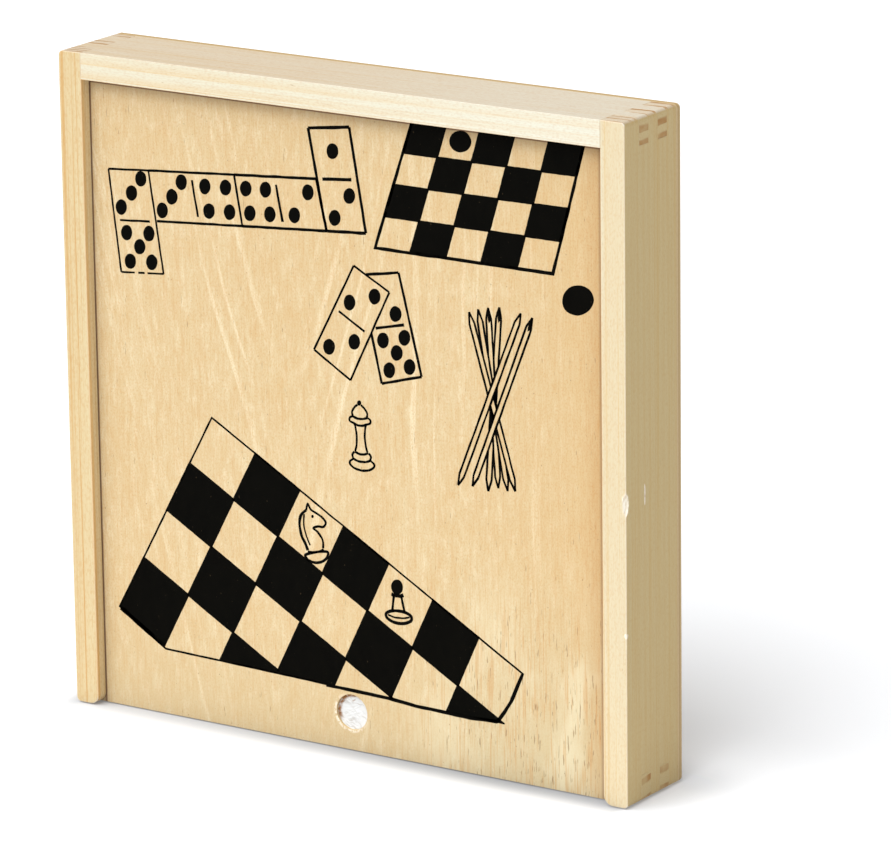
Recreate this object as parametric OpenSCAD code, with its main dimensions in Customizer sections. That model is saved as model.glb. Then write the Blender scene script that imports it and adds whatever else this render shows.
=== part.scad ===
// Games compendium box: a finger-jointed pine case that stands on its edge, with a sliding plywood lid.
// It holds dominoes, pick-up sticks, chessmen and draughtsmen in divided bays.
// Millimetres, +Z up, front towards -Y, origin at the middle of the base.
// The sets set the size of the bays, and the bays set the size of the case.

/* [Case] */
// Thickness of the four pine boards
board_t = 8; // [6:0.5:12]
// Thickness of the plywood back
back_t = 2.5; // [2:0.1:4]
// Radius of the case's outer corners, seen from the front
corner_r = 1.5; // [0.5:0.1:3]
// Solid wood behind the lid groove in the front finger
groove_web = 0.5; // [0.3:0.1:1.5]

/* [Lid] */
// Thickness of the sliding plywood lid
lid_t = 3; // [2:0.1:4]
// Thickness of the lip in front of the lid groove
lip_t = 4; // [3:0.1:6]
// Depth of the lid groove into the boards
groove_depth = 4; // [2.5:0.1:5]
// Play between the lid's faces and the groove, front to back
lid_play = 0.3; // [0.2:0.05:0.6]
// Play between the lid's edges and the bottom of the groove
edge_play = 0.25; // [0.1:0.05:0.6]
// Diameter of the finger recess
recess_d = 10.8; // [8:0.1:20]
// Depth of the finger recess
recess_depth = 1.5; // [0.8:0.1:1.8]
// Height of the recess's centre above the base
recess_z = 11.5; // [11:0.5:30]
// Radius at the foot of each lip, where the lid comes out
lip_foot_r = 3; // [1:0.1:3.5]

/* [Bays] */
// Thickness of the plywood dividers and shelves
divider_t = 3; // [2:0.1:4]
// Depth of the slots that carry the dividers' ends in the boards
housing_depth = 2; // [1:0.1:3]
// Depth of the slots that carry the shelves' ends in the dividers
shelf_housing = 1; // [0.5:0.1:1.2]
// Play of a divider or shelf in its slot
housing_play = 0.1; // [0.05:0.05:0.3]
// Free height above the tallest piece of each bay
headroom = 2; // [1:0.5:6]
// Free depth between the fullest bay and the lid groove
lid_gap = 1.4; // [1:0.1:5]
// Distance that the dividers stay back from the lid groove
divider_setback = 0.5; // [0.3:0.1:1]

/* [Pick-up sticks] */
// Length of a stick
stick_length = 180; // [120:1:220]
// Diameter of a stick
stick_d = 3; // [2.5:0.1:4]
// Length of a stick's pointed end
stick_point = 6; // [3:0.5:10]
// Diameter of a stick's blunted tip
stick_tip_d = 1; // [0.6:0.1:1.4]
// Air between neighbouring sticks
stick_gap = 0.1; // [0.05:0.05:0.3]
// Sticks side by side in one layer of the bundle
sticks_across = 7; // [6:1:8]

/* [Dominoes] */
// Length of a tile
tile_length = 37; // [30:0.5:45]
// Width of a tile
tile_w = 18.4; // [15:0.1:22]
// Thickness of a tile
tile_t = 4.7; // [4:0.1:6]
// Radius of a tile's corners
tile_r = 1.4; // [0.5:0.1:3]
// Air between two tiles that stand side by side
tile_gap = 0.3; // [0.2:0.1:1]
// Diameter of a pip
pip_d = 2.6; // [1.6:0.1:3]
// Depth of a pip
pip_depth = 0.5; // [0.2:0.1:0.8]
// Distance between two rows of pips
pip_pitch = 4.8; // [3.6:0.1:5.4]
// Width of the line across the middle of a tile
score_w = 0.8; // [0.4:0.1:1.5]
// Depth of that line
score_depth = 0.4; // [0.2:0.1:0.8]

/* [Chessmen] */
// Diameter of the foot of a king, queen, bishop, knight or rook
man_d = 13.4; // [11:0.1:14]
// Diameter of a pawn's foot
pawn_d = 11.4; // [9:0.1:13]
// Height of a king with its cross
king_h = 40; // [34:0.5:46]
// Height of a queen
queen_h = 36; // [30:0.5:40]
// Height of a bishop
bishop_h = 32; // [28:0.5:36]
// Height of a knight
knight_h = 29; // [26:0.5:34]
// Height of a rook
rook_h = 26; // [22:0.5:30]
// Height of a pawn
pawn_h = 22.5; // [19:0.5:26]
// Thickness of a knight's sawn head
knight_t = 5.4; // [4:0.1:7]
// Air between the chessmen and the back
man_gap = 0.3; // [0.2:0.1:1]

/* [Draughtsmen] */
// Diameter of a draughtsman
disc_d = 18; // [15:0.5:20]
// Thickness of a draughtsman
disc_t = 6; // [4:0.1:6.5]
// Radius of a draughtsman's rounded rim
disc_rim_r = 1.2; // [0.5:0.1:1.8]
// Depth of the ring turned into each face
disc_ring_depth = 0.5; // [0.2:0.1:0.8]
// Air round the stack of draughtsmen, left and right
disc_gap = 1; // [0.5:0.1:3]
// Air between two stacked draughtsmen
disc_air = 0.05; // [0.02:0.01:0.2]

/* [Hidden] */
// What the sets count
TILES_ACROSS = 7;
TILE_LAYERS = 4;
MAX_PIPS = 6;
MEN_ACROSS = 8;
DISCS_A_SIDE = 12;
STICKS_IN_GROUP = [1, 5, 5, 15, 5];
STICK_COLOURS = ["black", "blue", "green", "red", "gold"];

// Depths, counted from the front face
groove_w = lid_t + lid_play;
groove_back = lip_t + groove_w;
contents_depth = max(TILE_LAYERS * tile_t, disc_d + man_gap, man_d + man_gap, stick_bundle_depth());
frame_depth = groove_back + lid_gap + contents_depth;
case_d = frame_depth + back_t;
front_y = -case_d / 2;
back_y = front_y + frame_depth;
front_finger = groove_back + groove_web;
finger_w = (frame_depth - front_finger) / 4;

// Widths of the bays, from left to right
stick_pitch = stick_d + stick_gap;
stick_bay_w = sticks_across * stick_pitch + stick_gap;
play_bay_w = max(TILES_ACROSS * (tile_w + tile_gap) + tile_gap, MEN_ACROSS * (man_d + tile_gap));
disc_bay_w = disc_d + 2 * disc_gap;
inner_w = stick_bay_w + play_bay_w + disc_bay_w + 2 * divider_t;
case_w = inner_w + 2 * board_t;
inner_left = -inner_w / 2;
left_divider_x = inner_left + stick_bay_w;
play_left = left_divider_x + divider_t;
play_right = play_left + play_bay_w;
right_divider_x = play_right;
disc_bay_x = right_divider_x + divider_t + disc_bay_w / 2;

// Heights of the shelves, from the lowest bay to the highest
BAY_HEIGHTS = [tile_length, king_h, pawn_h, pawn_h, king_h];
function bay_floor(i) = i == 0 ? board_t : bay_floor(i - 1) + BAY_HEIGHTS[i - 1] + headroom + divider_t;
SHELVES = len(BAY_HEIGHTS) - 1;
shelves_h = bay_floor(SHELVES) + BAY_HEIGHTS[SHELVES] + headroom - board_t;
disc_pitch = disc_t + disc_air;
inner_h = max(stick_length + 2 * headroom, shelves_h, 2 * DISCS_A_SIDE * disc_pitch + headroom);
case_h = inner_h + 2 * board_t;
inner_top = case_h - board_t;

// The lid fills the grooves but for its play
lid_w = inner_w + 2 * (groove_depth - edge_play);
lid_h = inner_top + groove_depth - edge_play;
lid_front_y = front_y + lip_t + lid_play / 2;

// Smoothness of round work
$fn = 48;
EPS = 0.01;

function sum(v, i = 0) = i < len(v) ? v[i] + sum(v, i + 1) : 0;

// Where stick number i stands: layers are nested, and every second one has a stick less
function sticks_in_layer(layer) = layer % 2 == 0 ? sticks_across : sticks_across - 1;
function stick_layer(i, layer = 0) =
    i < sticks_in_layer(layer) ? [i, layer] : stick_layer(i - sticks_in_layer(layer), layer + 1);
function stick_bundle_depth() =
    stick_d + stick_layer(sum(STICKS_IN_GROUP) - 1)[1] * (stick_d + stick_gap) * sin(60);

TILE_PIPS = [for (low = [0:MAX_PIPS]) for (high = [low:MAX_PIPS]) [low, high]];
function tile_name(pips) = str("domino_", pips[0], "_", pips[1]);

CASE_NODES = ["top_rail", "bottom_rail", "left_rail", "right_rail", "back_panel", "lid"];
DIVIDER_NODES = ["left_divider", "right_divider", "shelf_1", "shelf_2", "shelf_3", "shelf_4"];
STICK_NODES = ["sticks_black", "sticks_blue", "sticks_green", "sticks_red", "sticks_gold"];
TILE_NODES = [for (pips = TILE_PIPS) tile_name(pips)];
MAN_KINDS = ["king", "queen", "bishops", "knights", "rooks", "pawns"];
LIGHT_NODES = [for (kind = MAN_KINDS) str("light_", kind)];
DARK_NODES = [for (kind = MAN_KINDS) str("dark_", kind)];
DISC_NODES = ["light_discs", "dark_discs"];

PINE = "burlywood";
PLYWOOD = "wheat";
LIGHT = "bisque";
DARK = "dimgray";

// A box given by its lowest and highest corners
module block(low, high) {
    translate(low) cube(high - low);
}

// The case's outline seen from the front, with its rounded corners
module case_outline() {
    rounded_rectangle(case_w, case_h, corner_r);
}

// A rectangle on the X axis, centred left to right, with round corners
module rounded_rectangle(w, h, r) {
    translate([-w / 2 + r, 0]) square([w - 2 * r, h]);
    translate([-w / 2, r]) square([w, h - 2 * r]);
    for (x = [-w / 2 + r, w / 2 - r]) for (y = [r, h - r]) translate([x, y]) circle(r);
}

// A front view pushed back from y = low to y = high
module pushed_back(low, high) {
    translate([0, high, 0]) rotate([90, 0, 0]) linear_extrude(high - low) children();
}

// Where the rails' two fingers lie, front to back, the rest being the sides' fingers
module rail_fingers(x_low, x_high, z_low, z_high) {
    for (i = [0, 2]) {
        y = front_y + front_finger + i * finger_w;
        block([x_low, y, z_low], [x_high, y + finger_w, z_high]);
    }
}

// The space that the lid runs in, open at the bottom of the case
module lid_groove() {
    half = inner_w / 2 + groove_depth;
    y = front_y + lip_t;
    block([-half, y, -EPS], [half, y + groove_w, inner_top + groove_depth]);
}

// A slot across a rail for an upright divider
module divider_slot(x, z_low, z_high) {
    block([x - housing_play / 2, front_y + groove_back - EPS, z_low],
          [x + divider_t + housing_play / 2, back_y + EPS, z_high]);
}

// Case

module top_rail() color(PINE) difference() {
    intersection() {
        union() {
            block([-inner_w / 2, front_y, inner_top], [inner_w / 2, back_y, case_h]);
            rail_fingers(-case_w / 2, case_w / 2, inner_top, case_h);
        }
        pushed_back(front_y, back_y) case_outline();
    }
    lid_groove();
    for (x = [left_divider_x, right_divider_x])
        divider_slot(x, inner_top - EPS, inner_top + housing_depth + housing_play);
}

module bottom_rail() color(PINE) difference() {
    intersection() {
        union() {
            block([-inner_w / 2, front_y + groove_back, 0], [inner_w / 2, back_y, board_t]);
            rail_fingers(-case_w / 2, case_w / 2, 0, board_t);
        }
        pushed_back(front_y, back_y) case_outline();
    }
    for (x = [left_divider_x, right_divider_x])
        divider_slot(x, board_t - housing_depth, board_t + EPS);
}

// The rounding at the foot of a lip, on the side towards the lid
module lip_foot_cut() {
    pushed_back(front_y - EPS, front_y + lip_t + EPS)
        translate([inner_w / 2, 0]) difference() {
            translate([-EPS, -EPS]) square(lip_foot_r + EPS);
            translate([lip_foot_r, lip_foot_r]) circle(lip_foot_r);
        }
}

module right_board() difference() {
    intersection() {
        block([inner_w / 2, front_y, 0], [case_w / 2, back_y, case_h]);
        pushed_back(front_y, back_y) case_outline();
    }
    rail_fingers(inner_w / 2 - EPS, case_w / 2 + EPS, inner_top, case_h + EPS);
    rail_fingers(inner_w / 2 - EPS, case_w / 2 + EPS, -EPS, board_t);
    lid_groove();
    lip_foot_cut();
}

module right_rail() color(PINE) right_board();
module left_rail() color(PINE) mirror([1, 0, 0]) right_board();

module back_panel() color(PLYWOOD) pushed_back(back_y, back_y + back_t) case_outline();

module lid() color(PLYWOOD) difference() {
    block([-lid_w / 2, lid_front_y, 0], [lid_w / 2, lid_front_y + lid_t, lid_h]);
    translate([0, lid_front_y + recess_depth, recess_z])
        rotate([90, 0, 0]) cylinder(d = recess_d, h = recess_depth + EPS);
}

// Dividers and shelves

divider_front_y = front_y + groove_back + divider_setback;

// The slots for the shelves' ends, cut from x_low to x_high
module shelf_slots(x_low, x_high) {
    for (i = [1:SHELVES])
        block([x_low, divider_front_y - EPS, bay_floor(i) - divider_t - housing_play / 2],
              [x_high, back_y + EPS, bay_floor(i) + housing_play / 2]);
}

module upright(x) {
    block([x, divider_front_y, board_t - housing_depth],
          [x + divider_t, back_y, inner_top + housing_depth]);
}

module left_divider() color(PLYWOOD) difference() {
    upright(left_divider_x);
    shelf_slots(play_left - shelf_housing, play_left + EPS);
}

module right_divider() color(PLYWOOD) difference() {
    upright(right_divider_x);
    shelf_slots(play_right - EPS, play_right + shelf_housing);
}

// A shelf rests on the lower side of its slots
module shelf(i) color(PLYWOOD) {
    reach = shelf_housing - housing_play;
    top = bay_floor(i) - housing_play / 2;
    block([play_left - reach, divider_front_y, top - divider_t], [play_right + reach, back_y, top]);
}

// Pick-up sticks

module stick() {
    tip_r = stick_tip_d / 2;
    cylinder(r1 = tip_r, r2 = stick_d / 2, h = stick_point);
    translate([0, 0, stick_point]) cylinder(d = stick_d, h = stick_length - 2 * stick_point);
    translate([0, 0, stick_length - stick_point]) cylinder(r1 = stick_d / 2, r2 = tip_r, h = stick_point);
}

// Scoring group number g of the sticks, spread through the bundle
module stick_group(g) color(STICK_COLOURS[g]) {
    first = g == 0 ? 0 : sum([for (k = [0:g - 1]) STICKS_IN_GROUP[k]]);
    total = sum(STICKS_IN_GROUP);
    for (k = [first:first + STICKS_IN_GROUP[g] - 1]) {
        place = stick_layer((k * 12 + 3) % total);
        shift = place[1] % 2 == 0 ? 0 : stick_pitch / 2;
        x = inner_left + stick_gap + stick_d / 2 + place[0] * stick_pitch + shift;
        y = back_y - stick_d / 2 - place[1] * stick_pitch * sin(60);
        translate([x, y, board_t]) stick();
    }
}

// Dominoes

// Places of the pips on one half of a tile, in steps of pip_pitch
function pip_places(n) = concat(
    n % 2 == 1 ? [[0, 0]] : [],
    n >= 2 ? [[-1, 1], [1, -1]] : [],
    n >= 4 ? [[1, 1], [-1, -1]] : [],
    n == 6 ? [[-1, 0], [1, 0]] : []
);

// A dimple in the face at z = tile_t, part of a ball as wide as the pip
module pip() {
    ball_r = (pow(pip_d / 2, 2) + pow(pip_depth, 2)) / (2 * pip_depth);
    translate([0, 0, ball_r - pip_depth]) sphere(ball_r);
}

// A tile lying on its back, its length along Y
module tile(pips) difference() {
    linear_extrude(tile_t) rounded_rectangle(tile_w, tile_length, tile_r);
    translate([0, 0, tile_t]) {
        for (half = [0, 1])
            for (p = pip_places(pips[half]))
                translate([p[0] * pip_pitch, tile_length * (1 + 2 * half) / 4 + p[1] * pip_pitch, 0]) pip();
        translate([-tile_w / 2 + tile_r, (tile_length - score_w) / 2, -score_depth])
            cube([tile_w - 2 * tile_r, score_w, score_depth + EPS]);
    }
}

// Tile number i stands in its column and layer, shuffled so that the set isn't in order
module domino(i) color(LIGHT) {
    place = (i * 11 + 5) % len(TILE_PIPS);
    column = place % TILES_ACROSS;
    layer = floor(place / TILES_ACROSS);
    x = play_left + tile_gap + tile_w / 2 + column * (tile_w + tile_gap);
    y = back_y - layer * tile_t;
    translate([x, y, board_t]) rotate([90, 0, 0]) tile(TILE_PIPS[i]);
}

// Chessmen

// A half-round moulding that bulges out from radius r, between two heights
function bead(r, low, high) =
    [for (a = [-90:18:90]) [r + (high - low) / 2 * cos(a), (low + high) / 2 + (high - low) / 2 * sin(a)]];

// A hollow flank that leaves the radius r0 flat and reaches the radius r1 upright
function cove(r0, low, r1, high) =
    [for (a = [0:10:90]) [r1 + (r0 - r1) * (1 - sin(a)), low + (high - low) * (1 - cos(a))]];

// A ball's outline from one angle to another, below the middle being negative
function ball(r, z, from, to) = [for (a = [from:(to - from) / 12:to]) [max(r * cos(a), 0), z + r * sin(a)]];

// Height at which every man's foot ends and his stem begins
foot_h = 4.2;
// Angle below its middle at which a round head meets its collar
neck_angle = 50;
// Radii of a pawn's waist and collar
pawn_waist_r = 1.6;
pawn_collar_r = 3.1;
// Notches round the top of a rook, and the width of each
NOTCHES = 6;
notch_w = 1.5;
notch_depth = 1.8;

// The foot that every man stands on
function foot(d) = concat(
    [[0, 0], [d / 2 - 0.6, 0], [d / 2, 0.6]],
    bead(d / 2 - 0.9, 0.9, 2.7),
    bead(d / 2 - 2, 2.7, foot_h)
);

// The stem from the foot to a collar of radius collar_r that ends at the height top
function stem(d, waist_r, collar_r, top) = concat(
    cove(d / 2 - 2.2, foot_h, waist_r, top - 3),
    bead(collar_r - 0.4, top - 3, top - 1.8),
    bead(collar_r - 0.9, top - 1.8, top - 0.8)
);

module turned(points) {
    rotate_extrude() polygon(points);
}

module pawn() {
    head_r = pawn_d * 0.26;
    collar = pawn_h - 2 * head_r + 0.9;
    turned(concat(foot(pawn_d), stem(pawn_d, pawn_waist_r, pawn_collar_r, collar),
        ball(head_r, pawn_h - head_r, -neck_angle, 90)));
}

module rook() {
    collar = rook_h - 7;
    tower_r = man_d * 0.33;
    cup_r = tower_r - 1.5;
    difference() {
        turned(concat(foot(man_d), stem(man_d, 2.9, 4.2, collar),
            [[tower_r - 1, collar], [tower_r - 0.6, collar + 2.2], [tower_r, collar + 2.8], [tower_r, rook_h],
             [cup_r, rook_h], [cup_r, rook_h - 2.2], [0, rook_h - 2.2]]));
        for (i = [0:NOTCHES / 2 - 1])
            rotate([0, 0, i * 360 / NOTCHES]) translate([0, 0, rook_h - notch_depth / 2])
                cube([man_d, notch_w, notch_depth + EPS], center = true);
    }
}

module bishop() {
    collar = bishop_h - 10;
    mitre_r = man_d * 0.235;
    waist = collar + mitre_r;
    top = bishop_h - 1.8;
    difference() {
        turned(concat(foot(man_d), stem(man_d, 1.9, 3.8, collar),
            ball(mitre_r, waist, -neck_angle, 0),
            [for (a = [10:10:70]) [mitre_r * cos(a), waist + (top - waist) * sin(a)]],
            ball(1.2, bishop_h - 1.2, -30, 90)));
        translate([mitre_r * 0.35, 0, waist + 2.6]) rotate([0, -35, 0])
            translate([0, -mitre_r - 1, 0]) cube([mitre_r * 2, 2 * mitre_r + 2, 0.9]);
    }
}

module queen() {
    collar = queen_h - 9.5;
    crown_r = man_d * 0.29;
    rim = queen_h - 3.2;
    difference() {
        turned(concat(foot(man_d), stem(man_d, 2, 4, collar),
            [[2.1, collar], [2.2, collar + 1.5], [crown_r - 0.7, rim - 2.2], [crown_r, rim], [crown_r - 0.9, rim],
             [1.6, rim - 0.8]],
            ball(1.5, queen_h - 1.5, -60, 90)));
        for (a = [0:45:315])
            rotate([0, 0, a]) translate([crown_r + 0.3, 0, rim + 0.2]) rotate([0, 90, 0])
                cylinder(r = 1, h = 2.4, center = true);
    }
}

module king() {
    collar = king_h - 14;
    crown_r = man_d * 0.28;
    rim = king_h - 6.4;
    cross_w = 4.4;
    arm = 1.4;
    turned(concat(foot(man_d), stem(man_d, 2.1, 4.1, collar),
        [[2.3, collar], [2.5, collar + 1.8], [crown_r, rim - 0.8], [crown_r - 0.3, rim]],
        [for (a = [10:16:90]) [(crown_r - 0.3) * cos(a), rim + 1.5 * sin(a)]]));
    translate([-arm / 2, -arm / 2, rim + 1]) cube([arm, arm, king_h - rim - 1]);
    translate([-cross_w / 2, -arm / 2, king_h - 3.2]) cube([cross_w, arm, arm]);
}

// Corner points of a knight's head seen from its left, in shares of its width and height
KNIGHT_OUTLINE = [
    [0.1, -0.1], [0.1, 0.05], [0.2, 0.18], [0.38, 0.36], [0.4, 0.46], [0.24, 0.42], [0.1, 0.36], [0, 0.44],
    [0.02, 0.56], [0.22, 0.72], [0.34, 0.86], [0.5, 1.05], [0.56, 0.88], [0.78, 0.8], [0.96, 0.56], [1, 0.28],
    [0.94, 0.05], [0.94, -0.1]
];

// One pass that cuts every corner of a closed outline to a softer pair
function softened(p) = [for (i = [0:len(p) - 1]) for (t = [0.25, 0.75])
    p[i] * (1 - t) + p[(i + 1) % len(p)] * t];

module knight() {
    head_w = man_d * 0.72;
    head_h = knight_h - foot_h;
    outline = softened(softened(KNIGHT_OUTLINE));
    ear = max([for (p = outline) p[1]]);
    turned(concat(foot(man_d), [[0, foot_h]]));
    translate([0, knight_t / 2, foot_h]) rotate([90, 0, 0]) linear_extrude(knight_t)
        polygon([for (p = outline) [(p[0] - 0.53) * head_w, (p[1] < 0 ? -0.02 : p[1] / ear) * head_h]]);
}

module man(kind) {
    if (kind == "king") king();
    if (kind == "queen") queen();
    if (kind == "bishops") bishop();
    if (kind == "knights") knight();
    if (kind == "rooks") rook();
    if (kind == "pawns") pawn();
}

// The files in which each kind of man stands, as at the start of a game
function files(kind) =
    kind == "king" ? [4] : kind == "queen" ? [3] : kind == "bishops" ? [2, 5] :
    kind == "knights" ? [1, 6] : kind == "rooks" ? [0, 7] : [0:MEN_ACROSS - 1];

// The men of one kind and colour, the light ones in the lower two of the four bays
module men(kind, light) color(light ? LIGHT : DARK) {
    pawns = kind == "pawns";
    bay = light ? (pawns ? 2 : 1) : (pawns ? 3 : 4);
    foot_d = pawns ? pawn_d : man_d;
    z = bay_floor(bay) - housing_play / 2;
    for (file = files(kind)) {
        x = play_left + play_bay_w * (file + 0.5) / MEN_ACROSS;
        turn = kind == "knights" && file > 3 ? 180 : 0;
        translate([x, back_y - man_gap - foot_d / 2, z]) rotate([0, 0, turn]) man(kind);
    }
}

// Draughtsmen

module disc() {
    r = disc_d / 2;
    ring_in = r * 0.35;
    ring_out = r * 0.72;
    half = [
        [0, 0], [ring_in, 0], [ring_in + disc_ring_depth, disc_ring_depth],
        [ring_out - disc_ring_depth, disc_ring_depth], [ring_out, 0], [r - disc_rim_r, 0]
    ];
    rim_low = [for (a = [-75:15:0]) [r - disc_rim_r + disc_rim_r * cos(a), disc_rim_r + disc_rim_r * sin(a)]];
    lower = concat(half, rim_low);
    upper = [for (i = [len(lower) - 1:-1:0]) [lower[i][0], disc_t - lower[i][1]]];
    rotate_extrude() polygon(concat(lower, upper));
}

// Half of the stack: the light discs stand at the bottom, the dark ones on them
module disc_stack(first) {
    for (i = [first:first + DISCS_A_SIDE - 1])
        translate([disc_bay_x, back_y - man_gap - disc_d / 2, board_t + i * disc_pitch]) disc();
}

module light_discs() color(LIGHT) disc_stack(0);
module dark_discs() color(DARK) disc_stack(DISCS_A_SIDE);

top_rail();
bottom_rail();
left_rail();
right_rail();
back_panel();
lid();
left_divider();
right_divider();
for (i = [1:SHELVES]) shelf(i);
for (g = [0:4]) stick_group(g);
for (i = [0:27]) domino(i);
for (k = [0:5]) men(MAN_KINDS[k], true);
for (k = [0:5]) men(MAN_KINDS[k], false);
light_discs();
dark_discs();
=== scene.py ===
"""Games compendium box: a pine case, a printed plywood lid that slides down out of it, and the sets inside.

The camera and light come first, then the tools that finish and shape wood, then the pieces and the floor.
Places are in millimetres in the part's own frame, and are turned into metres where a mesh is made.
"""
import math
import random

import bmesh
import bpy
from mathutils import Matrix, Vector, noise


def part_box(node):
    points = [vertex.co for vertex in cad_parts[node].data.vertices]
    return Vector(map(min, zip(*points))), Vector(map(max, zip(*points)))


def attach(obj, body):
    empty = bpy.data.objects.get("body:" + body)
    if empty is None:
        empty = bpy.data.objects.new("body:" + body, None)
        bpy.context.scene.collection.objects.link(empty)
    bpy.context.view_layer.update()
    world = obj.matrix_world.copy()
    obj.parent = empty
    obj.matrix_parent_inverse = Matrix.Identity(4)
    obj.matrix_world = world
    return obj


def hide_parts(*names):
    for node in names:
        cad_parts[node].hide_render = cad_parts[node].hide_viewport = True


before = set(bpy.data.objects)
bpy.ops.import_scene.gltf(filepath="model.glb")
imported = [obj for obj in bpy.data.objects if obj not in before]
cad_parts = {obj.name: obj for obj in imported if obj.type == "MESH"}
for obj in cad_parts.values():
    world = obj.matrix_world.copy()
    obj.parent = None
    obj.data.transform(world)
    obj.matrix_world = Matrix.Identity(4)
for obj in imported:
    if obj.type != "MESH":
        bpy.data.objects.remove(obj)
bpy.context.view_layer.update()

MM = 0.001


def low(node):
    """The lowest corner of a CAD node, in millimetres."""
    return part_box(node)[0] / MM


def high(node):
    """The highest corner of a CAD node, in millimetres."""
    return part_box(node)[1] / MM


# The case's planes that the pieces share
CASE_RIGHT = high("right_rail").x
CASE_FRONT = low("top_rail").y
CASE_BACK = high("back_panel").y
OPENING_LEFT = high("left_rail").x
OPENING_RIGHT = low("right_rail").x
OPENING_TOP = low("top_rail").z
LID_FRONT = low("lid").y
LID_BACK = high("lid").y

# The finger recess near the lid's foot
RECESS = Vector((0, LID_FRONT, 11.5))
RECESS_R = 5.4
RECESS_DEPTH = 1.5


# Camera and light

def set_camera():
    """The photograph's view: from the right, a little above, through a long lens."""
    place = Vector((0.9920, -1.4547, 0.5790))
    aim = Vector((0.0270, 0.0, 0.0993))
    lean = math.radians(-0.73)
    data = bpy.data.cameras.new("camera")
    data.lens = 253.6
    camera = bpy.data.objects.new("camera", data)
    turn = (aim - place).to_track_quat("-Z", "Y").to_matrix().to_4x4()
    camera.matrix_world = Matrix.Translation(place) @ turn @ Matrix.Rotation(lean, 4, "Z")
    bpy.context.scene.collection.objects.link(camera)
    bpy.context.scene.camera = camera


def set_light():
    """A very broad key light from high in front, a little to the left, in pale surroundings."""
    data = bpy.data.lights.new("key", "SUN")
    data.energy = 4.05
    data.angle = math.radians(72)
    data.color = (1.0, 0.997, 0.992)
    key = bpy.data.objects.new("key", data)
    towards_light = Vector((-0.17, -0.74, 1.0))
    key.matrix_world = towards_light.to_track_quat("Z", "Y").to_matrix().to_4x4()
    bpy.context.scene.collection.objects.link(key)
    world = bpy.data.worlds.new("studio")
    world.use_nodes = True
    surroundings = world.node_tree.nodes["Background"]
    surroundings.inputs["Color"].default_value = (1.0, 1.0, 1.0, 1)
    surroundings.inputs["Strength"].default_value = 0.22
    bpy.context.scene.world = world
    view = bpy.context.scene.view_settings
    view.view_transform = "Standard"
    view.look = "None"


# Trees of nodes, for materials and for what repeats

class Value:
    """A number that varies over a surface, with which maths is written as in Python."""

    def __init__(self, tree, socket):
        self.tree = tree
        self.socket = socket

    def maths(self, operation, *numbers):
        node = self.tree.node("ShaderNodeMath", {"operation": operation}, dict(enumerate(numbers)))
        return Value(self.tree, node.outputs[0])

    def __add__(self, other):
        return self.maths("ADD", self, other)

    __radd__ = __add__

    def __sub__(self, other):
        return self.maths("SUBTRACT", self, other)

    def __rsub__(self, other):
        return self.maths("SUBTRACT", other, self)

    def __mul__(self, other):
        return self.maths("MULTIPLY", self, other)

    __rmul__ = __mul__

    def __truediv__(self, other):
        return self.maths("DIVIDE", self, other)

    def size(self):
        return self.maths("ABSOLUTE", self)

    def root(self):
        return self.maths("SQRT", self)

    def part(self):
        """What is left of the number past its whole part."""
        return self.maths("FRACT", self)

    def whole(self):
        return self.maths("FLOOR", self)

    def most(self, other):
        return self.maths("MAXIMUM", self, other)

    def least(self, other):
        return self.maths("MINIMUM", self, other)

    def step(self, start, end):
        """0 before start, 1 after end, and a smooth rise between them."""
        node = self.tree.node("ShaderNodeMapRange", {"interpolation_type": "SMOOTHSTEP"},
                              {"Value": self, "From Min": start, "From Max": end})
        return Value(self.tree, node.outputs["Result"])


def length(first, *others):
    """How long a line is, from how far it runs along each axis."""
    total = first * first
    for other in others:
        total = total + other * other
    return total.root()


class Tree:
    """A tree of nodes, with one way to add a node: its type, its settings, and then its sockets."""

    def __init__(self, node_tree):
        self.nodes = node_tree.nodes
        self.links = node_tree.links

    def node(self, kind, settings=None, sockets=None):
        made = self.nodes.new(kind)
        for name, value in (settings or {}).items():
            setattr(made, name, value)
        for name, value in (sockets or {}).items():
            self.feed(self.find(made.inputs, name), value)
        return made

    def find(self, sockets, name):
        """A socket by its number, its identifier or its name."""
        if isinstance(name, int):
            return sockets[name]
        return next(socket for socket in sockets if name in (socket.identifier, socket.name))

    def feed(self, socket, value):
        if isinstance(value, Value):
            self.links.new(value.socket, socket)
        elif isinstance(value, bpy.types.NodeSocket):
            self.links.new(value, socket)
        else:
            socket.default_value = value

    def vector(self, x, y, z):
        return self.node("ShaderNodeCombineXYZ", None, {0: x, 1: y, 2: z}).outputs[0]

    def split(self, vector):
        """The three numbers of a vector."""
        node = self.node("ShaderNodeSeparateXYZ", None, {0: vector})
        return [Value(self, socket) for socket in node.outputs]

    def vectors(self, operation, *vectors, scale=1.0):
        """A vector worked out from others; scale only counts where the operation is SCALE."""
        sockets = dict(enumerate(vectors), Scale=scale)
        return self.node("ShaderNodeVectorMath", {"operation": operation}, sockets).outputs[0]


def colour(code):
    """A colour as written on screen, such as F0D5A5, in the renderer's own numbers."""
    shares = [int(code[i:i + 2], 16) / 255 for i in (0, 2, 4)]
    return tuple(((c + 0.055) / 1.055) ** 2.4 if c > 0.04045 else c / 12.92 for c in shares) + (1.0,)


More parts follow.
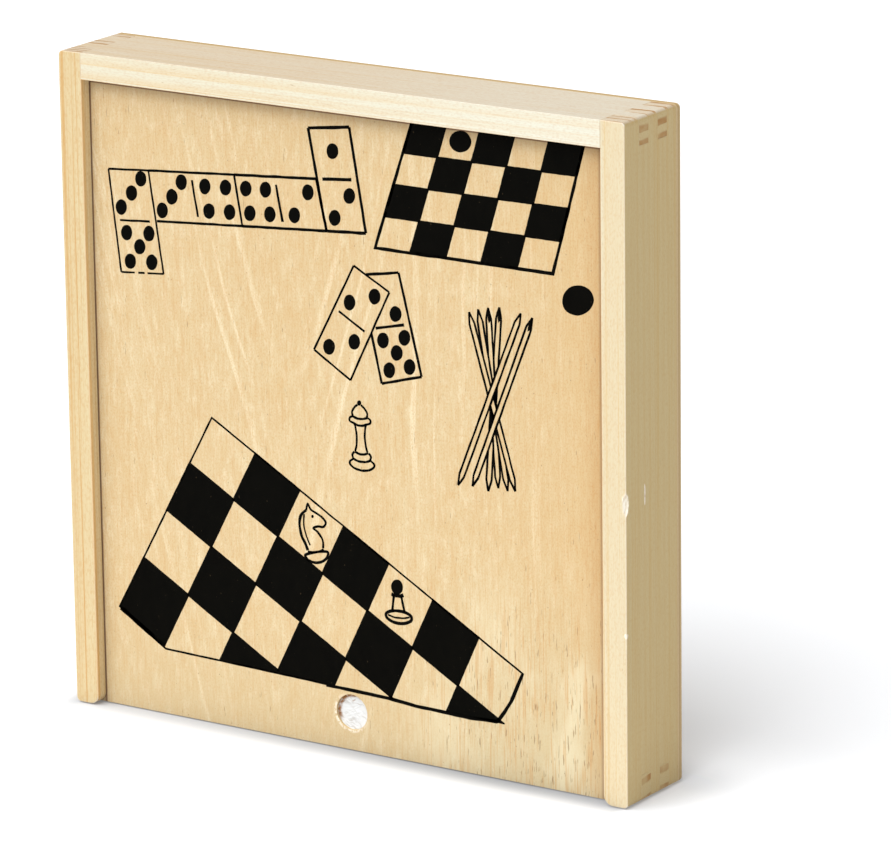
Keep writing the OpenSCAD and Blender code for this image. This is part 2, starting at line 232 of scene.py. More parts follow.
class Finish(Tree):
    """One material on the object's own coordinates, in millimetres."""

    def __init__(self, name, seed):
        self.material = bpy.data.materials.new(name)
        self.material.use_nodes = True
        super().__init__(self.material.node_tree)
        self.nodes.clear()
        self.surface = self.node("ShaderNodeBsdfPrincipled")
        self.node("ShaderNodeOutputMaterial", None, {"Surface": self.surface.outputs["BSDF"]})
        self.seed = seed
        where = self.node("ShaderNodeTexCoord")
        self.x, self.y, self.z = self.split(self.vectors("SCALE", where.outputs["Object"], scale=1 / MM))
        self.facing = [side.size() for side in self.split(where.outputs["Normal"])]

    def noise(self, x, y, z, detail=2.0, roughness=0.5):
        """Soft noise from 0 to 1, about 0.5; each call has its own place in the noise."""
        self.seed += 7.31
        place = self.vectors("ADD", self.vector(x, y, z), (self.seed, self.seed * 1.7, self.seed * 0.6))
        node = self.node("ShaderNodeTexNoise", None,
                         {"Vector": place, "Scale": 1.0, "Detail": detail, "Roughness": roughness})
        return Value(self, node.outputs[0])

    def mix(self, share, first, second):
        """One colour blended into another."""
        node = self.node("ShaderNodeMix", {"data_type": "RGBA", "clamp_factor": True},
                         {"Factor_Float": share, "A_Color": first, "B_Color": second})
        return self.find(node.outputs, "Result_Color")

    def finish(self, base, roughness, height=None, depth=0.02, gloss=0.3):
        """Feeds the surface; depth is how deep the relief is, in millimetres."""
        looks = {"Base Color": base, "Roughness": roughness, "Specular IOR Level": gloss}
        if height is not None:
            relief = {"Height": height, "Strength": 1.0, "Distance": depth * MM}
            looks["Normal"] = self.node("ShaderNodeBump", None, relief).outputs["Normal"]
        for name, value in looks.items():
            self.feed(self.surface.inputs[name], value)
        return self.material


# Wood

LATE_END = colour("A57438")
RESIN = colour("8F6334")
DUSK = colour("A97C45")
AMBER = colour("B98340")
SAWN = colour("DDAA60")
GAP_SHADE = colour("5C3623")
SAPWOOD = colour("DCE0D8")
TORN_AND_HIGHLIGHT = colour("F0E8D8")


def pine(name, along, heart, pitch, seed, tone, wide_lit_tone, end_tone, late_tone, contrast, strength,
         fading=0.0, torn=()):
    """Pine with its growth rings as a solid pattern, so that faces and end grain agree.

    The grain runs along one axis; heart is where the tree's middle lay across it, and pitch a ring's width.
    Contrast is how much the rings show, and strength how much the fibres do. Its ends have a tone of their
    own, and its wide faces a painted tone, lighter or darker for how light falls on them. Fading is how pale
    it turns towards its far end. Torn gives places left raw, by centre and half sizes.
    """
    f = Finish(name, seed)
    grain, a, b = (f.x, f.y, f.z) if along == "x" else (f.z, f.y, f.x)
    end = (f.facing[0] if along == "x" else f.facing[2]).step(0.6, 0.9)
    wide = (f.facing[2] if along == "x" else f.facing[0]).step(0.6, 0.9)
    sway = (f.noise(grain * 0.004, a * 0.03, b * 0.03, 1.0) - 0.5) * 2.4
    tremble = (f.noise(grain * 0.02, a * 0.2, b * 0.2, 2.0) - 0.5) * 0.9
    radius = length(a - heart[0], b - heart[1] + sway) + tremble
    uneven = (f.noise(radius * 0.15, 0.0, 0.0, 1.0) - 0.5) * 1.4
    ring = (radius * (1 / pitch) + uneven).part()
    late = ring.step(0.3, 0.86) * (1 - ring.step(0.9, 1.0))
    patches = f.noise(grain * 0.012, a * 0.12, b * 0.12, 2.0)
    fibre = f.noise(grain * 0.12, a * 3.2, b * 3.2, 3.0, 0.65)
    strands = f.noise(grain * 0.004, a * 1.5, b * 1.5, 2.0, 0.6)
    broad = f.noise(grain * 0.003, a * 0.35, b * 0.35, 1.0)
    speckle = f.noise(grain * 0.9, a * 2.2, b * 2.2, 1.0)
    # The wide faces get a painted tone: painted shade or painted light for how light falls on them
    plain = f.mix(end, f.mix(wide, tone, wide_lit_tone), end_tone)
    shown = (0.25 + 0.9 * patches) * contrast * (1 - wide * 0.2)
    face = f.mix(late * shown, plain, late_tone)
    face = f.mix(strands.step(0.5, 0.62) * (broad.step(0.3, 0.7) * 0.8 + 0.2) * strength, face, late_tone)
    face = f.mix(grain.step(-40, 90) * fading, face, SAPWOOD)
    cut = f.mix(late.step(0.25, 0.7) * (0.25 + patches.step(0.3, 0.65) * 0.65), plain, LATE_END)
    wood = f.mix(end, face, cut)
    wood = f.mix(fibre.step(0.35, 0.8) * (0.08 + 0.2 * strength), wood, AMBER)
    wood = f.mix(speckle.step(0.44, 0.7) * (0.04 + 0.25 * strength), wood, AMBER)
    ducts = f.noise(grain * 0.35, a * 2.4, b * 2.4, 1.0).step(0.77, 0.82)
    wood = f.mix(ducts * 0.5, wood, RESIN)
    # Painted highlight: the front arrises are paled like rubbed wood, as where light catches them; the back
    # arrises are darkened a little
    arris = 1 - f.facing[0].most(f.facing[1]).most(f.facing[2]).step(0.84, 0.97)
    front = 1 - f.y.step(CASE_FRONT + 0.4, CASE_FRONT + 0.6)
    wood = f.mix(arris * front * 0.8, wood, TORN_AND_HIGHLIGHT)
    wood = f.mix(arris * (1 - front) * 0.2, wood, DUSK)
    # Painted shade on the lips' inner faces, in the corner just before the lid
    beside_x = 1 - f.x.size().step(OPENING_RIGHT + 0.05, OPENING_RIGHT + 0.3)
    below_top = 1 - f.z.step(OPENING_TOP + 0.05, OPENING_TOP + 0.3)
    before_lid = f.y.step(LID_FRONT - 0.45, LID_FRONT - 0.2) * (1 - f.y.step(LID_FRONT, LID_FRONT + 0.1))
    wood = f.mix(before_lid * beside_x * below_top * 0.6, wood, GAP_SHADE)
    lip = (1 - f.y.step(CASE_FRONT + 0.9, CASE_FRONT + 1.5)) * beside_x * below_top
    wood = f.mix(lip * 0.45, wood, SAWN)
    hatch = f.noise(f.x * 1.2, f.y * 1.2, f.z * 0.4, 2.0)
    for centre, half in torn:
        off = [(place - middle) * (1 / h) for place, middle, h in zip((f.x, f.y, f.z), centre, half)]
        away = length(*off) + (hatch - 0.5) * 0.5
        wood = f.mix((1 - away.step(0.8, 1.05)) * 0.9, wood, f.mix(hatch.step(0.4, 0.7) * 0.5, TORN_AND_HIGHLIGHT, DUSK))
    rough = 0.55 + 0.2 * fibre
    relief = fibre * 0.6 - late * 0.4 + strands * 0.4
    return f.finish(wood, rough, relief, 0.04)


VENEER = colour("CBB993")
VENEER_PALE = colour("DED2B1")
VENEER_DEEP = colour("C4A97B")
VENEER_LOW = colour("BAAA86")
VENEER_CORNER = colour("BBC2AA")
UNDER_RAIL_SHADE = colour("917A56")
PORE = colour("7E5C36")
PLY_EDGE = colour("CDB58A")
PLY_CORE = colour("BA9C6D")
PLY_STREAK = colour("9C7646")


def lid_face(f, face, corner, depth):
    """What only the lid's veneer shows: a streaked corner, torn fibres at the recess, and painted shade
    towards its foot, under the top rail, towards the right rail and in the gaps at its sides.

    Corner rises from 0 to 1 towards the lower right, and depth is how far in from the outer face.
    """
    outer = 1 - depth.step(0.3, 0.6)
    # Painted shade: the lid is darker towards its foot
    face = f.mix((1 - f.z.step(0, 45)) * 0.35, face, VENEER_LOW)
    clouds = f.noise(f.z * 0.022, f.x * 0.05, 0.0, 3.0, 0.6).step(0.46, 0.62)
    face = f.mix(clouds * corner * 0.5, face, VENEER_PALE)
    face = f.mix(corner * 0.18, face, VENEER_CORNER)
    streaks = f.noise(f.z * 0.06, f.x * 1.5, 0.0, 2.0, 0.6).step(0.5, 0.66)
    face = f.mix(streaks * (0.3 + corner * 0.7) * 0.45, face, AMBER)
    off_x, off_z = f.x - RECESS.x, f.z - RECESS.z
    low_left = ((off_x + off_z) * -0.12 + 0.5).most(0).least(1)
    flakes = f.noise(f.x * 0.9, f.z * 0.9, 0.0, 2.0).step(0.38, 0.5)
    rim = 1 - length(off_x, off_z).step(RECESS_R + 0.4, RECESS_R + 1.1)
    face = f.mix(rim * outer * flakes * low_left * 0.6, face, TORN_AND_HIGHLIGHT)
    past_left = OPENING_LEFT - f.x
    past_right = f.x - OPENING_RIGHT
    past_top = f.z - OPENING_TOP
    # Painted shade in the gaps where the lid runs under the left rail, the right rail and the top rail
    left = past_left.step(-0.6, -0.2) * (1 - past_left.step(0.1, 0.7))
    right = past_right.step(-3.6, -2.7) * (1 - past_right.step(-1.9, -0.9)) * 0.5
    top = past_top.step(-1.7, -1.3) * (1 - past_top.step(0.0, 0.8))
    # Painted shade under the top rail, fading down the lid
    face = f.mix(past_top.step(-6, -1) * outer * 0.4, face, UNDER_RAIL_SHADE)
    # Painted shade towards the right rail
    face = f.mix(past_right.step(-10.5, -2.5) * outer * 0.3, face, DUSK)
    return f.mix(left.most(right).most(top) * outer * 0.8, face, GAP_SHADE)


def plywood(name, node, through, along, seed):
    """Three-ply wood for a sheet: rotary-cut veneer on its faces, and the plies on its edges.

    Through is the axis across the plies, and along is the face grain's.
    """
    front, back = getattr(low(node), through), getattr(high(node), through)
    f = Finish(name, seed)
    axes = {"x": f.x, "y": f.y, "z": f.z}
    depth = axes.pop(through)
    grain = axes.pop(along)
    (across,) = axes.values()
    flat = f.facing["xyz".index(through)].step(0.5, 0.9)
    drift = (f.noise(grain * 0.012, across * 0.012, depth * 0.01, 2.0) - 0.5) * 9
    off_heart = across + 20
    arches = (off_heart * off_heart + 30).root() - grain * 0.27 + drift
    past_arches = across.step(8, 26)
    patches = f.noise(grain * 0.006, arches * 0.05, depth * 0.02, 3.0, 0.55)
    in_arches = f.noise(grain * 0.004, arches * 0.30, 0.0, 2.0, 0.6).step(0.56, 0.7)
    upright = f.noise(grain * 0.006, (across + drift) * 0.30, 0.0, 2.0, 0.6).step(0.56, 0.7)
    wisps = in_arches * (1 - past_arches) + upright * past_arches
    wisps = wisps * (0.15 + 0.85 * f.noise(grain * 0.022, across * 0.05, 0.0, 2.0).step(0.42, 0.62))
    fibre = f.noise(grain * 0.22, across * 2.8, depth * 0.5, 3.0, 0.65)
    haze = f.noise(grain * 0.05, across * 0.7, 0.0, 3.0, 0.6)
    speckle = f.noise(grain * 1.6, across * 2.4, depth, 1.0)
    face = f.mix(patches.step(0.3, 0.72) * 0.35, VENEER, VENEER_DEEP)
    mottle = f.noise(grain * 0.13, across * 0.3, 0.0, 3.0, 0.7)
    face = f.mix(haze.step(0.45, 0.75) * 0.35, face, VENEER_DEEP)
    face = f.mix(mottle.step(0.4, 0.7) * 0.4, face, VENEER_DEEP)
    face = f.mix((1 - mottle).step(0.5, 0.75) * 0.4, face, VENEER_PALE)
    face = f.mix(wisps * 0.6, face, VENEER_PALE)
    face = f.mix(across.step(30, 94) * 0.7, face, VENEER_DEEP)
    face = f.mix(fibre.step(0.4, 0.75) * 0.3, face, AMBER)
    face = f.mix(speckle.step(0.45, 0.7) * 0.3, face, AMBER)
    crowd = f.noise(grain * 0.03, across * 0.05, 0.0, 1.0) * 0.05
    if node == "lid":
        corner = (1 - grain.step(25, 75)) * across.step(0, 60)
        crowd = crowd + corner * 0.085
        face = lid_face(f, face, corner, depth - front)
    pores = (f.noise(grain * 0.30, across * 2.6, depth * 0.5, 1.0, 0.4) + crowd).step(0.77, 0.84)
    specks = f.noise(grain * 1.1, across * 1.7, depth * 0.5, 0.0).step(0.83, 0.86)
    face = f.mix(pores * 0.6, face, PORE)
    face = f.mix(specks * 0.55, face, PORE)
    ply = ((depth - front) * (1 / (back - front)) * 3).whole()
    core = 1 - (ply - 1).size().least(1)
    edge = f.mix(core, PLY_EDGE, PLY_CORE)
    streaks = f.noise(f.x * 0.8, f.y * 5.0, f.z * 0.8, 3.0, 0.6)
    edge = f.mix(streaks.step(0.4, 0.75) * 0.3, edge, PLY_STREAK)
    wood = f.mix(flat, edge, face)
    rough = 0.52 + 0.18 * fibre
    relief = fibre * 0.5 - pores * 1.2
    return f.finish(wood, rough, relief, 0.03)


def printing_ink():
    """Black screen ink, with pinholes where the wood's pores took none."""
    f = Finish("printing_ink", 3)
    pinholes = f.noise(f.x * 1.6, f.y * 0.1, f.z * 0.9, 2.0, 0.5).step(0.74, 0.78)
    mottle = f.noise(f.x * 0.4, f.y * 0.4, f.z * 0.2, 3.0)
    black = f.mix(mottle, colour("020201"), colour("0A0906"))
    black = f.mix(pinholes * 0.45, black, colour("5A4D38"))
    grain = f.noise(f.x * 3.0, f.y * 1.0, f.z * 0.3, 2.0)
    return f.finish(black, 0.7 + 0.15 * mottle, grain, 0.01, 0.03)


def torn_wood():
    """The raw white wood that a cutter left in the finger recess, with mottled painted shade at the upper
    left of its rim, below the wall.
    """
    f = Finish("torn_wood", 5)
    bent = (f.noise(f.x * 0.3, f.y * 0.3, f.z * 0.3, 1.0) - 0.5) * 3
    hatch = f.noise(f.x * 0.35, 0.0, (f.z + f.x * 0.4 + bent) * 1.9, 2.0, 0.6)
    cracks = f.noise(f.x * 0.5, 2.0, (f.z - f.x * 0.3 + bent) * 1.1, 2.0, 0.5).step(0.6, 0.66)
    wood = f.mix(hatch.step(0.5, 0.7) * 0.55, colour("D5D6D6"), colour("A39C93"))
    off_x, off_z = f.x - RECESS.x, f.z - RECESS.z
    rim = length(off_x, off_z).step(RECESS_R - 1.4, RECESS_R - 0.5)
    upper_left = (off_z - off_x).step(0, 4)
    wood = f.mix(cracks * upper_left * 0.6, wood, colour("8A6A4C"))
    # Painted shade where the recess wall shades the upper left of its floor, mottled
    wall_shade_mottle = f.noise(f.x * 0.9, f.y, f.z * 0.9, 2.0).step(0.3, 0.55)
    wood = f.mix(rim * upper_left * (0.35 + wall_shade_mottle * 0.65), wood, colour("8A5F38"))
    return f.finish(wood, 0.75 + 0.15 * hatch, hatch, 0.08, 0.15)


def game_wood(name, pale, deep, seed, lacquer):
    """Close-grained wood for turned men, draughtsmen and tiles, standing upright."""
    f = Finish(name, seed)
    sway = (f.noise(f.x * 0.05, f.y * 0.05, f.z * 0.02, 2.0) - 0.5) * 6
    band = f.noise((f.x + sway) * 0.55, (f.y + sway) * 0.55, f.z * 0.03, 3.0, 0.6)
    fibre = f.noise(f.x * 3.5, f.y * 3.5, f.z * 0.18, 2.0, 0.6)
    wood = f.mix(band.step(0.32, 0.72), pale, deep)
    wood = f.mix(fibre.step(0.5, 0.8) * 0.35, wood, deep)
    return f.finish(wood, lacquer + 0.18 * fibre, fibre + band, 0.02, 0.45)


def stick_wood(name, paint, bottom, top, bands):
    """A stick's pale wood with rings of paint at both ends; bands are places measured from the tips."""
    f = Finish(name, 11)
    fibre = f.noise(f.x * 2.5, f.y * 2.5, f.z * 0.08, 2.0, 0.6)
    wood = f.mix(fibre.step(0.3, 0.75), colour("F0DCB2"), colour("D9B679"))
    from_tip = (f.z - bottom).least(top - f.z)
    ragged = from_tip + (f.noise(f.x * 1.2, f.y * 1.2, f.z * 0.3) - 0.5) * 0.8
    worn = f.noise(f.x * 0.9, f.y * 0.9, f.z * 0.5, 3.0).step(0.68, 0.78)
    for start, end in bands:
        ring = ragged.step(start, start + 0.25) * (1 - ragged.step(end, end + 0.25))
        wood = f.mix(ring * (1 - worn * 0.5), wood, paint)
    return f.finish(wood, 0.42 + 0.2 * fibre, fibre, 0.02, 0.4)


# Shaping pieces

def link(name, mesh, *materials):
    """A new object in place at the origin, with its materials."""
    piece = bpy.data.objects.new(name, mesh)
    for material in materials:
        mesh.materials.append(material)
    bpy.context.scene.collection.objects.link(piece)
    return piece


def fixed(piece, body, slot, *nodes):
    """Makes a finished piece ride on its body, and stand for the nodes it was made from."""
    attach(piece, body)
    if nodes:
        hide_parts(*nodes)


def merged(node):
    """A node's surface with its loose triangles joined and its flat faces made whole."""
    bm = bmesh.new()
    bm.from_mesh(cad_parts[node].data)
    bmesh.ops.remove_doubles(bm, verts=bm.verts, dist=0.001 * MM)
    bmesh.ops.dissolve_limit(bm, angle_limit=math.radians(1), verts=bm.verts, edges=bm.edges)
    return bm


def mesh_of(bm, name):
    """The mesh that a working surface becomes, without normals or places carried from elsewhere."""
    mesh = bpy.data.meshes.new(name)
    bm.to_mesh(mesh)
    bm.free()
    for spare in {"custom_normal", "UVMap"} & set(mesh.attributes.keys()):
        mesh.attributes.remove(mesh.attributes[spare])
    mesh.shade_flat()
    return mesh


def settled(piece):
    """The piece with its modifiers made part of its mesh."""
    bpy.context.view_layer.update()
    shaped = piece.evaluated_get(bpy.context.evaluated_depsgraph_get())
    mesh = bpy.data.meshes.new_from_object(shaped)
    piece.modifiers.clear()
    piece.data = mesh
    return piece


def eased(name, node, ease, material):
    """A node with its sharp edges eased; ease gives an edge's rounding in millimetres, from its two ends."""
    widest = 0.5
    bm = merged(node)
    weight = bm.edges.layers.float.new("bevel_weight_edge")
    for edge in bm.edges:
        if edge.is_manifold and edge.calc_face_angle(0) > math.radians(25):
            ends = [v.co / MM for v in edge.verts]
            edge[weight] = ease(*ends) / widest
    piece = link(name, mesh_of(bm, name), material)
    bevel = piece.modifiers.new("ease", "BEVEL")
    bevel.limit_method = "WEIGHT"
    bevel.width = widest * MM
    bevel.segments = 2
    return settled(piece)


def smooth(piece, sharpest=35):
    """Shades a turned piece smooth, but for edges sharper than an angle."""
    piece.data.shade_smooth()
    piece.data.set_sharp_from_angle(angle=math.radians(sharpest))
    return piece


def plywood_sheet(stem, node, body, ease, through, along, seed):
    """A plywood sheet in its place on a body."""
    material = plywood(stem + "_plywood", node, through, along, seed)
    fixed(eased(stem + "_sheet", node, ease, material), body, "plywood", node)


# Case

# How far off a plane a corner may lie and still belong to it
TOUCHING = 0.02


def on(plane, *values):
    """Whether all values lie on a plane."""
    return all(abs(value - plane) < TOUCHING for value in values)


def case_ease(first, second):
    """Outer arrises are rubbed round; edges where two pieces meet keep a hair of a chamfer."""
    above_opening = min(first.z, second.z) > OPENING_TOP - TOUCHING
    meets_board = on(OPENING_RIGHT, abs(first.x), abs(second.x)) and above_opening
    if on(CASE_FRONT, first.y, second.y) and not meets_board:
        return 0.25
    if on(CASE_BACK, first.y, second.y):
        return 0.35
    return 0.1


# A knock on the right front arris, a scratch beside it and a nick below it, by centre and half sizes
DENT = Vector((CASE_RIGHT + 0.9, CASE_FRONT - 0.9, 90))
DENT_R = Vector((2.3, 2.3, 4.0))
SCRATCH = ((CASE_RIGHT, -5.0, 90.8), (1.0, 0.4, 3.3))
NICK = ((CASE_RIGHT, CASE_FRONT, 51.4), (1.0, 0.9, 0.9))


def make_case():
    """The four pine boards, fingered together, and the plywood back."""
    cream, honey, grey, tan = colour("D1CDB8"), colour("CDBC96"), colour("D6C9B2"), colour("CAB686")
    boards = {
        "top": dict(along="x", heart=(-2, 262), pitch=3.7, seed=21, tone=cream, wide_lit_tone=grey, end_tone=tan,
                    late_tone=colour("CDAA6C"), contrast=0.38, strength=0.5, fading=0.3),
        "bottom": dict(along="x", heart=(4, -56.5), pitch=7.3, seed=22, tone=cream, wide_lit_tone=honey,
                       end_tone=tan, late_tone=colour("C4A06B"), contrast=0.8, strength=0.5),
        "left": dict(along="z", heart=(-70, -84), pitch=2.7, seed=23, tone=colour("CCBD96"),
                     wide_lit_tone=colour("D8C79E"), end_tone=grey, late_tone=colour("BC8F4C"),
                     contrast=0.3, strength=0.8),
        "right": dict(along="z", heart=(-70, 100), pitch=3.3, seed=24, tone=colour("CFC7AC"), wide_lit_tone=tan,
                      end_tone=grey, late_tone=colour("C8A463"), contrast=0.3, strength=0.5,
                      torn=[(DENT, DENT_R * 1.15), SCRATCH, NICK]),
    }
    for side, looks in boards.items():
        name, node = "board_" + side, side + "_rail"
        board = eased(name, node, case_ease, pine(name + "_pine", **looks))
        if side == "right":
            dented(board)
        fixed(board, "case", "pine", node)
    plywood_sheet("back", "back_panel", "case", case_ease, "y", "z", 31)


def dented(piece):
    """Knocks the hollow into a piece with a ball-shaped cutter, and leaves the cut rough."""
    bm = bmesh.new()
    bmesh.ops.create_icosphere(bm, subdivisions=4, radius=1.0)
    for v in bm.verts:
        rough = 1 + 0.10 * noise.noise(v.co * 3.1)
        v.co = Vector([(c + r * k * rough) * MM for c, r, k in zip(DENT, DENT_R, v.co)])
    cutter = link("cutter", mesh_of(bm, "cutter"))
    cut = piece.modifiers.new("dent", "BOOLEAN")
    cut.operation = "DIFFERENCE"
    cut.solver = "EXACT"
    cut.object = cutter
    settled(piece)
    bpy.data.objects.remove(cutter)


# Lid

def sheet_ease(first, second):
    """The edges of the lid, the dividers and the shelves, all eased alike."""
    return 0.15


def make_lid():
    """The sliding lid, and the torn wood in its finger recess."""
    plywood_sheet("lid", "lid", "lid", sheet_ease, "y", "z", 41)
    fixed(recess_fibres(torn_wood()), "lid", "plywood")


def recess_fibres(material):
    """Torn fibres that fill the bottom of the recess."""
    bm = bmesh.new()
    rings = 22
    spokes = 72
    angles = [2 * math.pi * spoke / spokes for spoke in range(spokes)]
    radii = [(RECESS_R - 0.02) * ring / rings for ring in range(1, rings + 1)]
    rows = [[bm.verts.new((r * math.cos(a), 0, r * math.sin(a))) for a in angles] for r in radii]
    middle = bm.verts.new((0, 0, 0))
    for spoke in range(spokes):
        after = (spoke + 1) % spokes
        bm.faces.new((middle, rows[0][spoke], rows[0][after]))
        for inner, outer in zip(rows, rows[1:]):
            bm.faces.new((inner[spoke], outer[spoke], outer[after], inner[after]))
    for v in bm.verts:
        x, z = v.co.x, v.co.z
        furrow = noise.noise(Vector((x * 0.55 + z * 0.25, z * 2.6 - x * 0.9, 3.0)))
        lump = noise.noise(Vector((x * 0.5, z * 0.5, 8.0)))
        edge = max(0.0, math.hypot(x, z) / RECESS_R - 0.72) / 0.28
        raised = 0.32 + 0.16 * furrow + 0.16 * lump + 0.35 * edge * edge
        v.co = (Vector((x, RECESS_DEPTH - raised, z)) + RECESS) * MM
    return smooth(link("recess_fibres", mesh_of(bm, "recess_fibres"), material), 60)


# Print on the lid

# How far the ink stands proud of the wood, and how far it sinks in
INK_PROUD = 0.03
INK_SINK = 0.02


class Sheet:
    """Ink on one face of the lid: thin closed plates, drawn in millimetres across and up."""

    def __init__(self, name, face, outward, seed):
        self.name = name
        self.face = face
        self.outward = outward
        self.bm = bmesh.new()
        self.hand = random.Random(seed)

    def laid(self, points):
        """The points twice over, sunk into the wood and standing proud of it."""
        heights = [self.face - self.outward * INK_SINK, self.face + self.outward * INK_PROUD]
        return [[self.bm.verts.new(Vector((x, y, z)) * MM) for x, z in points] for y in heights]

    def plate(self, lower, upper):
        """A closed strip between two rows of points, which run the same way, or a ring where they close."""
        (low_in, low_out), (up_in, up_out) = self.laid(lower), self.laid(upper)
        for i in range(len(lower) - 1):
            for near_row, far_row in ((low_out, up_out), (up_out, up_in), (up_in, low_in), (low_in, low_out)):
                self.bm.faces.new((near_row[i], near_row[i + 1], far_row[i + 1], far_row[i]))
        for i in (0, -1):
            self.bm.faces.new((low_in[i], low_out[i], up_out[i], up_in[i]))

    def blot(self, outline):
        """A filled shape."""
        inner, outer = self.laid(outline)
        self.bm.faces.new(outer)
        self.bm.faces.new(inner)
        for i in range(len(outline)):
            after = (i + 1) % len(outline)
            self.bm.faces.new((inner[i], inner[after], outer[after], outer[i]))

    def oval(self, centre, across, up, slant=0.12):
        """A filled oval with a hand-cut edge, given by its half sizes; slant is how it rises to the right."""
        steps = 32
        outline = []
        bump = self.hand.random() * 10
        for i in range(steps):
            angle = 2 * math.pi * i / steps
            cos, sin = math.cos(angle), math.sin(angle)
            r = 1 + 0.05 * noise.noise(Vector((cos * 1.6, sin * 1.6, bump)))
            x, z = across * r * cos, up * r * sin
            outline.append((centre[0] + x, centre[1] + z + slant * x))
        self.blot(outline)

    def stroke(self, points, width, closed=False):
        """A drawn line of about one width, that trembles as a hand does."""
        if closed:
            points = list(points) + [points[0]]
        path = self.stepped([Vector(p) for p in points])
        before, after = (path[-2], path[1]) if closed else (path[0], path[-1])
        bump = self.hand.random() * 50
        left, right = [], []
        for i, (last, p, following) in enumerate(zip([before] + path, path, path[1:] + [after])):
            arriving = (p - last).normalized()
            leaving = (following - p).normalized()
            along = (arriving + leaving).normalized()
            mitre = min(1.8, 1 / max(0.35, along.dot(arriving), along.dot(leaving)))
            swell = 1 + 0.22 * noise.noise(Vector((i * 0.31, bump, 0)))
            side = Vector((-along.y, along.x)) * (width / 2 * mitre * swell)
            shake = Vector([noise.noise(Vector((i * 0.23, bump, layer))) for layer in (5, 9)]) * 0.07
            left.append(p + side + shake)
            right.append(p - side + shake)
        self.plate(right, left)

    def straight(self, start, end, width, covers=()):
        """A straight line, left out where a cover hides it."""
        start, end = Vector(start), Vector(end)
        steps = max(2, round((end - start).length / 0.2))
        runs = [[]]
        for k in range(steps + 1):
            point = start.lerp(end, k / steps)
            if any(inside(point, cover) for cover in covers):
                runs.append([])
            else:
                runs[-1].append(point)
        for run in runs:
            if len(run) > 3:
                self.stroke((run[0], run[-1]), width)

    def stepped(self, points):
        """The same line with a point about every millimetre, its corners kept."""
        path = [points[0]]
        for start, end in zip(points, points[1:]):
            steps = max(1, round((end - start).length))
            path += [start.lerp(end, k / steps) for k in range(1, steps + 1)]
        return path

    def finish(self, ink):
        bmesh.ops.recalc_face_normals(self.bm, faces=self.bm.faces)
        return link(self.name, mesh_of(self.bm, self.name), ink)


def rounded(points, closed):
    """A smooth line through points, by Catmull and Rom's rule."""
    steps = 5
    ends = points[-1:] + points + points[:2] if closed else points[:1] + points + points[-1:]
    path = []
    for a, b, c, d in zip(ends, ends[1:], ends[2:], ends[3:]):
        for k in range(steps):
            t = k / steps
            path.append(0.5 * (2 * b + (c - a) * t + (2 * a - 5 * b + 4 * c - d) * t * t
                               + (3 * b - a - 3 * c + d) * t ** 3))
    return path if closed else path + points[-1:]


def inside(point, outline):
    """Whether a point lies inside a closed outline."""
    x, z = point
    odd = False
    for (ax, az), (bx, bz) in zip(outline, outline[1:] + outline[:1]):
        if (az > z) != (bz > z) and x < ax + (z - az) * (bx - ax) / (bz - az):
            odd = not odd
    return odd


# The places of the pips in a tile's half, as shares of its width and of its length
PIP_PLACES = {
    1: [(0.5, 0.5)],
    2: [(0.27, 0.3), (0.73, 0.76)],
    3: [(0.22, 0.2), (0.5, 0.5), (0.8, 0.8)],
    4: [(0.26, 0.27), (0.74, 0.27), (0.26, 0.78), (0.74, 0.78)],
    5: [(0.25, 0.22), (0.79, 0.22), (0.52, 0.5), (0.25, 0.81), (0.76, 0.81)],
}
PIP_ACROSS = 2.05
PIP_UP = 2.35


def across_tile(corners, u, v):
    """A place on a drawn tile: u runs from its first corner to its second, v towards its last."""
    first, second, third, last = [Vector(c) for c in corners]
    return first.lerp(second, u).lerp(last.lerp(third, u), v)


def draw_tile(sheet, corners, pips, width, rising=False, covers=(), left_out=None):
    """A domino from its four corners: its outline, but for a side left out, its middle line and its pips.

    Where it is rising, its twos and threes run up to the right.
    """
    for i, (start, end) in enumerate(zip(corners, corners[1:] + corners[:1])):
        if i != left_out:
            sheet.straight(start, end, width, covers)
    sheet.straight(across_tile(corners, 0.13, 0.495), across_tile(corners, 0.85, 0.495), width, covers)
    for half, count in enumerate(pips):
        for u, v in PIP_PLACES.get(count, []):
            turned = rising and count < 4
            place = across_tile(corners, 1 - u if turned else u, 0.47 * v + (0.51 if half else -0.01))
            if not any(inside(place, cover) for cover in covers):
                sheet.oval(place, PIP_ACROSS, PIP_UP)


def draw_dominoes(sheet):
    """A laid row of four tiles at the top left, and a crossed pair in the middle."""
    top = [Vector((-68.9, 166.3)), Vector((-9.3, 170.8))]
    foot = [Vector((-66.2, 151.4)), Vector((-6.0, 155.8))]
    top_middle = top[0].lerp(top[1], 0.515)
    foot_middle = foot[0].lerp(foot[1], 0.508)
    first = [(-83.4, 165.1), top[0], (-64.3, 135.7), (-79.7, 134.4)]
    draw_tile(sheet, first, (3, 5), 0.65, rising=True, left_out=2)
    for start, end in ((0.0, 0.32), (0.4, 0.55), (0.62, 1.0)):
        sheet.stroke([across_tile(first, start, 1.0), across_tile(first, end, 1.0)], 0.6)
    draw_tile(sheet, [foot[0], top[0], top_middle, foot_middle], (3, 4), 0.75, left_out=0)
    draw_tile(sheet, [foot_middle, top_middle, top[1], foot[1]], (4, 2), 0.85, left_out=0)
    draw_tile(sheet, [(-11.8, 185.5), (2.5, 187.3), (7.7, 156.8), (-6.0, 155.8)], (1, 2), 0.95, rising=True)
    front = [(3.3, 146.7), (15.5, 140.4), (1.5, 112.4), (-11.1, 119.9)]
    draw_tile(sheet, front, (2, 2), 0.68, rising=True)
    behind = [(5.2, 144.2), (18.8, 146.6), (26.2, 116.8), (12.4, 112.9)]
    draw_tile(sheet, behind, (0, 5), 0.85, covers=[front])
    sheet.oval((17.5, 134.2), PIP_ACROSS, PIP_UP)


